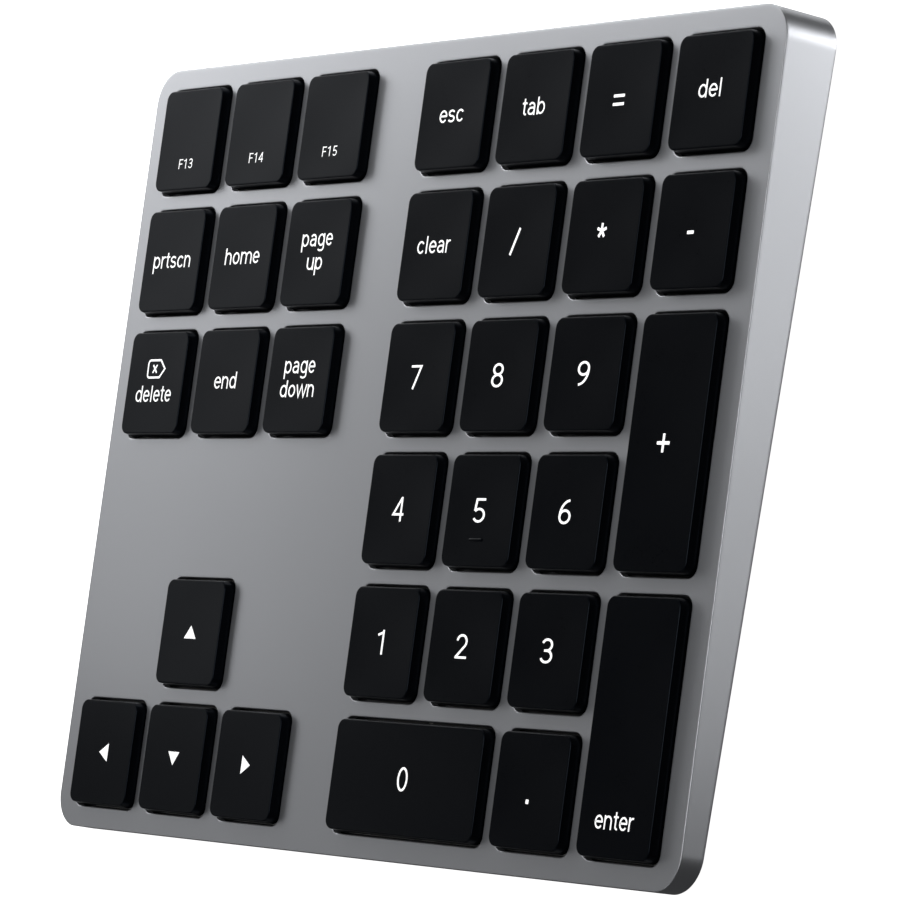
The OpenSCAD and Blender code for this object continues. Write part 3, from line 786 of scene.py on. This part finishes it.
def legendLoops(name):
    # outlines of every mark on one keycap, about the keycap's centre
    tag = name[4:]
    if tag in digits:
        width = digitWidths.get(tag, legend["digitWidth"]) * mm
        return lettering(tag, legend["digitHeight"], width, -legend["digitHeight"] / 2, legend["digitShift"])
    if tag in arrowMarks:
        angle, base, rise = arrowMarks[tag]
        return [arrow(angle, base * mm, rise * mm)]
    if tag in signMarks:
        return [bar(*row) * mm for row in signMarks[tag]]
    height = legend["smallHeight"] if tag[0] == "f" else legend["wordHeight"]
    loops = deleteIcon() if tag == "delete" else []
    for text, width, base, shift in wordMarks[tag]:
        loops += lettering(text, height, width * mm, base * mm, shift * mm)
    return loops


def flatSolid(loops):
    # Everything that lies inside any of the outlines, as one closed plate from z = -1 to 1:
    # a top, a bottom, and a side along each edge that only one triangle has.
    points, triangles, middles = cutTriangles(loops, 1e-5)
    triangles = triangles[np.any([insideLoops(middles, [loop]) for loop in loops], axis=0)]
    sides = np.concatenate([triangles[:, [0, 1]], triangles[:, [1, 2]], triangles[:, [2, 0]]])
    known = {tuple(pair) for pair in sides.tolist()}
    rim = [(a, b) for a, b in sides.tolist() if (b, a) not in known]
    n = len(points)
    solid = np.vstack([atHeight(points, 1.0), atHeight(points, -1.0)])
    faces = [tuple(t) for t in triangles.tolist()]
    faces += [tuple(i + n for i in t[::-1]) for t in triangles.tolist()]
    faces += [(b, a, a + n, b + n) for a, b in rim]
    return solid, faces


def laidOnCap(shape, name):
    # z = 1 is just proud of the dished top, z = -1 just inside it
    points, faces = shape
    out = points.copy()
    out[:, :2] += keyPlan(name)[0]
    surface = capSurface(name)(out[:, 0], out[:, 1])
    out[:, 2] = surface + np.where(points[:, 2] > 0, legend["thick"], -legend["sink"])
    return out, faces


ridge = {
    "place": (-0.35 * mm, -4.0 * mm), "length": 3.0 * mm, "width": 0.4 * mm, "radius": 0.195 * mm,
    "sink": 0.05 * mm,
    "levels": ((0, 0), (0, 0.08), (0.03, 0.14), (0.09, 0.19), (0.16, 0.21)),  # inset and rise, in millimetres
}


def homingBar(name):
    # low rounded ridge: capsules that shrink as they rise
    middle = keyPlan(name)[0] + np.array(ridge["place"])
    base = capSurface(name)(*middle) - ridge["sink"]
    rows = []
    for inset, rise in ridge["levels"]:
        outline = roundedRing(ridge["length"] - 2 * inset * mm, ridge["width"] - 2 * inset * mm,
                              ridge["radius"] - inset * mm, 5, 1)
        rows.append(atHeight(middle + outline, base + rise * mm))
    return ringStack(rows, True, True)


def turned(points, name):
    # local switch coordinates placed under a key; a tall key's switch is a quarter turn round
    centre, width, depth = keyPlan(name)
    out = np.asarray(points, float).copy()
    if depth > width * 1.5:
        out = out @ np.array([(0, 1, 0), (-1, 0, 0), (0, 0, 1)], float)
    out[:, :2] += centre
    return out


clip = {
    "stops": ((-2.0, -5.3), (2.0, -5.3), (-5.3, 5.3), (5.3, 5.3)),  # x and y, in millimetres
    "stopHalf": np.array([0.5, 0.2]) * mm, "stopBottom": 1.96 * mm,  # the last is above the membrane
    "jaws": ((-10, 5.34), (-10, 6.46), (10, 5.34), (10, 6.46)),
    "jawHalf": np.array([0.6, 0.19]) * mm, "jawReach": 0.2 * mm, "root": 0.05 * mm, "longKey": 20 * mm,
}


def capClips(name):
    # four stops that hold the scissor, and on a long key two clips for its wire
    centre, width, depth = keyPlan(name)
    roof = deckTop + cap["rise"] - cap["roof"] + clip["root"]

    def posts(places, half, bottom):
        middles = np.array(places) * mm
        return [boxShape((*(m - half), bottom), (*(m + half), roof)) for m in middles]

    shapes = posts(clip["stops"], clip["stopHalf"], membraneTop + clip["stopBottom"])
    if max(width, depth) > clip["longKey"]:
        shapes += posts(clip["jaws"], clip["jawHalf"], deckTop - clip["jawReach"])
    points, faces = joined(shapes)
    return turned(points, name), faces


for name in keyNames:
    body = [capShape(name), capClips(name)]
    if name == "key_5":
        body.append(homingBar(name))
    ink = [laidOnCap(flatSolid(legendLoops(name)), name)]
    piece = makePiece(name + "_cap", [body, ink], [materialFor["key_plastic"], inkWithPaintedGlowMaterial])
    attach(piece, name)
    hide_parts(name)
print("keycaps:", len(keyNames))

# switches under the keys

switch = {
    "frameWidth": 12.4 * mm, "frameDepth": 10.0 * mm, "bar": 0.9 * mm, "thick": 0.7 * mm,
    "middle": 1.24 * mm, "lean": 10.38, "soft": 0.08 * mm, "corner": 0.9 * mm, "innerGap": 0.2 * mm,
    "pin": 0.25 * mm, "squashed": 0.5,
}
crown = 2.42
domeProfile = [
    # radius and height above the membrane, in millimetres
    (0.3, crown - 0.04), (1.1, crown), (1.5, crown - 0.06), (1.66, crown - 0.3), (1.8, 1.7), (2.15, 1.0),
    (2.6, 0.5), (2.85, 0.34), (3.3, 0.3), (3.4, 0.2), (3.4, 0.0), (2.5, 0.0), (2.5, 0.16), (2.2, 0.5),
    (1.8, 1.1), (1.45, 1.6), (1.3, crown - 0.6), (0.3, crown - 0.62),
]


def domeShape(name):
    # a profile of radius and height, turned about the upright axis: down the outside,
    # under the rim and up the inside
    rows = [atHeight(circleRing(r * mm, 28), z * mm) for r, z in domeProfile]
    points, faces = ringStack(rows, True, True)
    return turned(points + np.array([0, 0, membraneTop]), name), faces


def frameShape(name, width, depth, lean, pins):
    # a flat rectangular frame with soft edges, leaning about its middle; the inner one has pins
    bar, half, soft, corner = switch["bar"], switch["thick"] / 2, switch["soft"], switch["corner"]
    section = [(soft, half), (0, half - soft), (0, soft - half), (soft, -half), (bar - soft, -half),
               (bar, soft - half), (bar, half - soft), (bar - soft, half), (soft, half)]
    rows = [atHeight(roundedRing(width - 2 * i, depth - 2 * i, corner - min(i, corner * 2 / 3), 5, 1), z)
            for i, z in section]
    shapes = [ringStack(rows)]
    for side in (-1, 1) if pins else ():
        ends = [side * (width / 2 - 0.05 * mm), side * (width / 2 + bar - 0.1 * mm)]
        ring = circleRing(switch["pin"], 14)
        rows = [np.column_stack([np.full(len(ring), x), ring[:, 0] * -side, ring[:, 1]]) for x in ends]
        shapes.append(ringStack(rows, True, True))
    points, faces = joined(shapes)
    c, s = math.cos(math.radians(lean)), math.sin(math.radians(lean))
    points = points @ np.array([(1, 0, 0), (0, c, s), (0, -s, c)])
    return turned(points + np.array([0, 0, membraneTop + switch["middle"]]), name), faces


def switchPiece(tag, name, shapes, slots, nodes):
    piece = makePiece(f"{tag}_{name}", [[shape] for shape in shapes], [materialFor[slot] for slot in slots])
    faceOutward(piece)
    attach(piece, "root")
    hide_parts(*nodes)
    anchor = fromDeck(np.array([*keyPlan(name)[0], membraneTop]))
    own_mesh(piece)


for name in keyNames:
    innerWidth = switch["frameWidth"] - 2 * switch["bar"] - 2 * switch["innerGap"]
    outer = frameShape(name, switch["frameWidth"], switch["frameDepth"], switch["lean"], False)
    inner = frameShape(name, innerWidth, switch["frameDepth"] - 0.4 * mm, -switch["lean"], True)
    switchPiece("dome", name, [domeShape(name)], ["dome_silicone"], ["rubber_domes"])
    switchPiece("scissor", name, [joined([outer, inner])], ["scissor_plastic"],
                ["scissor_outer_frames", "scissor_inner_frames"])
print("switches:", len(keyNames))

# back edge

inlet = {
    "lip": 0.1 * mm, "wall": 0.3 * mm, "contacts": 12, "contactGap": 0.5 * mm, "contactWidth": 0.25 * mm,
    "contactFrom": 3.4 * mm, "contactTo": 0.4 * mm, "contactRise": 0.02 * mm, "tongueWidth": 6.69 * mm,
    "tongueHalf": 0.35 * mm, "tongueTip": (0.12 * mm, 0.15 * mm), "baseSize": (7.6 * mm, 1.9 * mm),
}
knob = {
    "slider": (3.4 * mm, 1.4 * mm), "stem": (2.6 * mm, 1.1 * mm), "radius": 0.2 * mm, "soft": 0.1 * mm,
    "sliderEnd": 1.8 * mm, "stemStart": 1.6 * mm, "ridges": 5, "ridgeGap": 0.44 * mm, "ridgeRise": 0.22 * mm,
    "ridge": (0.24 * mm, 0.86 * mm), "ridgeSoft": 0.06 * mm,
}
pipe = {"dome": 0.2 * mm, "around": 28}


def rowRing(width, height, radius, x, z, y, steps=10):
    # a rounded rectangle in x and z at depth y
    ring = roundedRing(width, height, radius, steps, 1)
    return np.column_stack([ring[:, 0] + x, np.full(len(ring), y), ring[:, 1] + z])


def inletShell():
    # the section of a rolled lip carried round the mouth: outside, round the lip, and back in
    low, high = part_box("usb_c_shell")
    x, z = (low.x + high.x) / 2, (low.z + high.z) / 2
    width, height, wall, lip = high.x - low.x, high.z - low.z, inlet["wall"], inlet["lip"]
    section = [(0, low.y), (0, high.y - lip), (lip * 0.3, high.y - lip * 0.3), (lip, high.y),
               (wall - lip, high.y), (wall - lip * 0.3, high.y - lip * 0.3), (wall, high.y - lip),
               (wall, low.y + wall)]
    rows = [rowRing(width - 2 * i, height - 2 * i, height / 2 - i - 1e-6, x, z, y) for i, y in section]
    return ringStack(rows, True, True)


def inletTongue():
    # tongue with a chamfered tip, the base it stands on, and a row of contacts on each face
    low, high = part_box("usb_c_tongue")
    x, z = (low.x + high.x) / 2, (low.z + high.z) / 2
    half, rise, tip = inlet["tongueHalf"], inlet["contactRise"], inlet["tongueTip"]
    rows = [rowRing(inlet["tongueWidth"] - 2 * i, 2 * half - 2 * i, 0.1 * mm, x, z, y, 3)
            for i, y in ((0, low.y + 0.4 * mm), (0, high.y - tip[1]), (tip[0], high.y))]
    wide, tall = inlet["baseSize"]
    base = [rowRing(wide - 2 * i, tall - 2 * i, 0.2 * mm, x, z, y, 3)
            for i, y in ((0, low.y), (0, low.y + 1.1 * mm), (0.1 * mm, low.y + 1.2 * mm))]
    contacts, w = [], inlet["contactWidth"] / 2
    for k in range(inlet["contacts"]):
        middle = x + (k - (inlet["contacts"] - 1) / 2) * inlet["contactGap"]
        for side in (-1, 1):
            face = z + side * half
            contacts.append(boxShape((middle - w, high.y - inlet["contactFrom"], face - rise),
                                     (middle + w, high.y - inlet["contactTo"], face + rise)))
    return [ringStack(rows, True, True), ringStack(base, True, True)], contacts


def switchKnob():
    # slider on the inside, and a stem whose outer face has small grip ridges
    low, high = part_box("power_switch_knob")
    x, z = (low.x + high.x) / 2, (low.z + high.z) / 2
    soft, radius, ridgeSoft = knob["soft"], knob["radius"], knob["ridgeSoft"]

    def block(size, middle, profile, steps=3):
        # a rounded bar along y; the profile gives inset, corner radius and y
        rows = [rowRing(size[0] - 2 * i, size[1] - 2 * i, r, middle, z, y, steps) for i, r, y in profile]
        return ringStack(rows, True, True)

    end, face = low.y + knob["sliderEnd"], high.y - knob["ridgeRise"]
    shapes = [
        block(knob["slider"], x, [(soft, radius, low.y), (0, radius, low.y + soft),
                                  (0, radius, end - soft), (soft, radius, end)]),
        block(knob["stem"], x, [(0, radius, low.y + knob["stemStart"]), (0, radius, face - soft),
                                (soft, radius, face)], 4)]
    for k in range(knob["ridges"]):
        middle = x + (k - (knob["ridges"] - 1) / 2) * knob["ridgeGap"]
        profile = [(0, soft, face - 0.05 * mm), (0, soft, high.y - ridgeSoft),
                   (ridgeSoft, soft - ridgeSoft, high.y)]
        shapes.append(block(knob["ridge"], middle, profile))
    return shapes


def lightPipe():
    # a rod with a domed end: radius times the cosine and sine of a quarter turn
    low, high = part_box("light_pipe")
    x, z, radius = (low.x + high.x) / 2, (low.z + high.z) / 2, (high.x - low.x) / 2
    turns = np.linspace(0, 1.4, 6)
    shoulder = high.y - pipe["dome"]
    section = [(radius, low.y), (radius, shoulder)]
    section += [(radius * math.cos(t), shoulder + pipe["dome"] * math.sin(t)) for t in turns[1:]]
    ring = circleRing(1.0, pipe["around"])
    rows = [np.column_stack([x - ring[:, 0] * r, np.full(len(ring), y), z + ring[:, 1] * r])
            for r, y in section]
    return ringStack(rows, True, True)


def backPiece(name, shapes, slots, body, node):
    piece = makePiece(name, shapes, [materialFor[slot] for slot in slots], place=np.asarray)
    faceOutward(piece)
    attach(piece, body)
    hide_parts(node)


backPiece("charging_inlet_shell", [[inletShell()]], ["inlet_steel"], "root", "usb_c_shell")
backPiece("charging_inlet_tongue", inletTongue(), ["inlet_plastic", "wire_steel"], "root", "usb_c_tongue")
backPiece("power_switch_slider", [switchKnob()], ["switch_plastic"], "power_switch_knob", "power_switch_knob")
backPiece("status_light_pipe", [[lightPipe()]], ["light_plastic"], "root", "light_pipe")
print("back edge done")

# floor, light and camera

view = {"azimuth": 81.367, "elevation": 35.021, "roll": -75.265, "distance": 0.6803, "lens": 198.93,
        "aim": (0.01333, -0.00097, 0.0069)}
studio = {"floor": 6.0, "floorShade": 0.8, "floorGlow": 1.0, "world": 0.05}
lamps = {
    # aim, azimuth and elevation in degrees, distance, size, power
    "overhead": ("middle", 0, 84, 0.50, 0.20, 0.82),
    "edgeLight": ("middle", 10, 66, 0.60, 0.16, 0.30),
    "leftSoftbox": ("middle", 184, 27, 0.20, 0.055, 0.0075),
    "frontLeftSoftbox": ("middle", 200, 30, 0.32, 0.10, 0.0167),
    "nearLeftSoftbox": ("middle", 165, 24, 0.21, 0.06, 0.0133),
    "nearLeftBroad": ("middle", 165, 24, 0.21, 0.095, 0.0061),
    "lowLeftSoftbox": ("middle", 150, 20, 0.30, 0.10, 0.0830),
    "rearLeftBroad": ("middle", 140, 30, 0.20, 0.09, 0.0044),
    "rearLeftSoftbox": ("middle", 118, 32, 0.16, 0.063, 0.0313),
    "rearSoftbox": ("middle", 100, 35, 0.25, 0.10, 0.0832),
    "frontFill": ("middle", 268, 20, 0.60, 0.30, 0.30),
    "rearWallFill": ("middle", 112, -16, 0.45, 0.24, 0.45),
    "wallFront": ("rightWall", -7.4, -35, 0.15, 0.0375, 0.0068),
    "wallMiddle": ("rightWall", 16.6, -35, 0.15, 0.0375, 0.0069),
    "wallMiddleBroad": ("rightWall", 16.6, -35, 0.30, 0.075, 0.0319),
    "wallRear": ("rightWall", 40.6, -35, 0.15, 0.0375, 0.0052),
    "wallRearBroad": ("rightWall", 40.6, -35, 0.30, 0.075, 0.0503),
    "cornerRear": ("rightWall", 64.6, -35, 0.15, 0.0375, 0.0358),
}
lampAims = {"middle": (0, 0, 0), "rightWall": (0.0745, 0, 0.005)}


def studioFloor():
    half = studio["floor"] / 2
    steps = np.linspace(-half, half, 3)
    gridX, gridY = np.meshgrid(steps, steps)
    points = np.stack([gridX, gridY, np.zeros_like(gridX)], -1).reshape(-1, 3)
    faces = [(r * 3 + c, r * 3 + c + 1, r * 3 + c + 4, r * 3 + c + 3) for r in (0, 1) for c in (0, 1)]
    f = Finish("studioFloor", Roughness=0.8, Emission_Color=rgb(1.0), Emission_Strength=studio["floorGlow"],
               Base_Color=rgb(studio["floorShade"]))
    floor = makePiece("studio_floor", [[(points, faces)]], [f.material], place=np.asarray)
    # it only shows to the camera: light from the softboxes below its level passes it
    floor.visible_glossy = floor.visible_diffuse = floor.visible_shadow = False


def softbox(name, aim, azimuth, elevation, distance, size, power):
    # a square area light that faces its aim
    azimuth, elevation = math.radians(azimuth), math.radians(elevation)
    away = Vector((math.cos(elevation) * math.cos(azimuth), math.cos(elevation) * math.sin(azimuth),
                   math.sin(elevation)))
    data = bpy.data.lights.new(name, "AREA")
    data.shape = "SQUARE"
    data.size = size
    data.energy = power
    lamp = bpy.data.objects.new(name, data)
    lamp.location = Vector(lampAims[aim]) + away * distance
    lamp.rotation_euler = (-away).to_track_quat("-Z", "Y").to_euler()
    lamp.visible_camera = False
    bpy.context.scene.collection.objects.link(lamp)


def placeCamera():
    # it looks at the aim from an azimuth and elevation, and turns about its own line of sight
    azimuth, elevation, roll = (math.radians(view[k]) for k in ("azimuth", "elevation", "roll"))
    back = Vector((math.sin(azimuth) * math.cos(elevation), -math.cos(azimuth) * math.cos(elevation),
                   math.sin(elevation)))
    level = Vector((math.cos(azimuth), math.sin(azimuth), 0))
    upright = back.cross(level)
    right = level * math.cos(roll) + upright * math.sin(roll)
    up = upright * math.cos(roll) - level * math.sin(roll)
    data = bpy.data.cameras.new("camera")
    data.lens = view["lens"]
    data.sensor_width = 36
    data.clip_start = 0.01
    camera = bpy.data.objects.new("camera", data)
    turn = Matrix((right, up, back)).transposed().to_4x4()
    camera.matrix_world = Matrix.Translation(Vector(view["aim"]) + back * view["distance"]) @ turn
    bpy.context.scene.collection.objects.link(camera)
    bpy.context.scene.camera = camera


studioFloor()
for name, settings in lamps.items():
    softbox(name, *settings)
world = bpy.data.worlds.new("studio")
world.use_nodes = True
world.node_tree.nodes["Background"].inputs["Color"].default_value = rgb(1.0)
world.node_tree.nodes["Background"].inputs["Strength"].default_value = studio["world"]
bpy.context.scene.world = world
bpy.context.scene.view_settings.view_transform = "Standard"
placeCamera()
print("studio ready")
